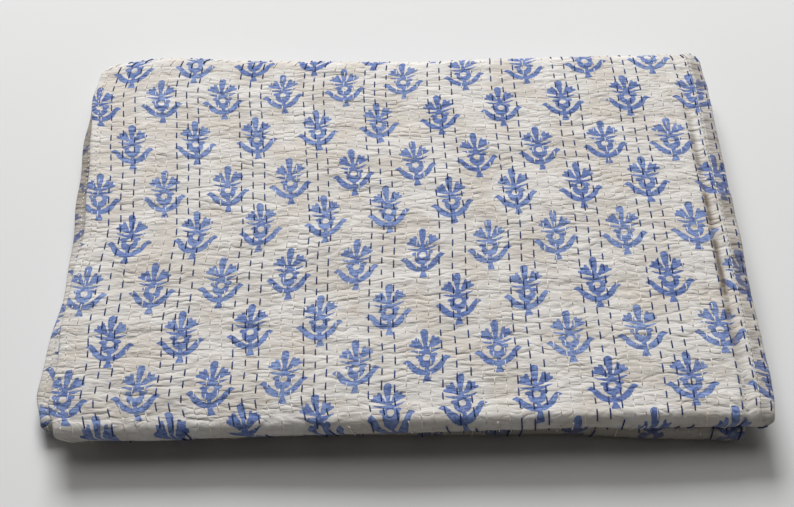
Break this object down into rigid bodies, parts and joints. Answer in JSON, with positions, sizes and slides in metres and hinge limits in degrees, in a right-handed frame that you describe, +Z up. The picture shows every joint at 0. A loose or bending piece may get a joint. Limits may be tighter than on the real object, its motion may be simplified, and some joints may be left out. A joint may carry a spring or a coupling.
{
  "type": "folded quilt",
  "caption": "Thin stitched cotton throw quilt, folded into a flat rectangular pack with rounded front folds, a small printed flower repeat and rows of running stitches.",
  "frame": {"origin": "middle of the bottom of the folded pack's box, on the surface it lies on", "axes": "+X along the pack's long side towards the folded end, +Y from the rounded front folds to the back, +Z up"},
  "size_m": [0.6532, 0.461, 0.047],
  "materials": {
    "quilt_cotton": "unbleached cotton, matt, softly puckered by rows of running stitches, with a blue block print"
  },
  "bodies": {
    "root": {"quilt": "quilt_cotton"}
  },
  "joints": []
}
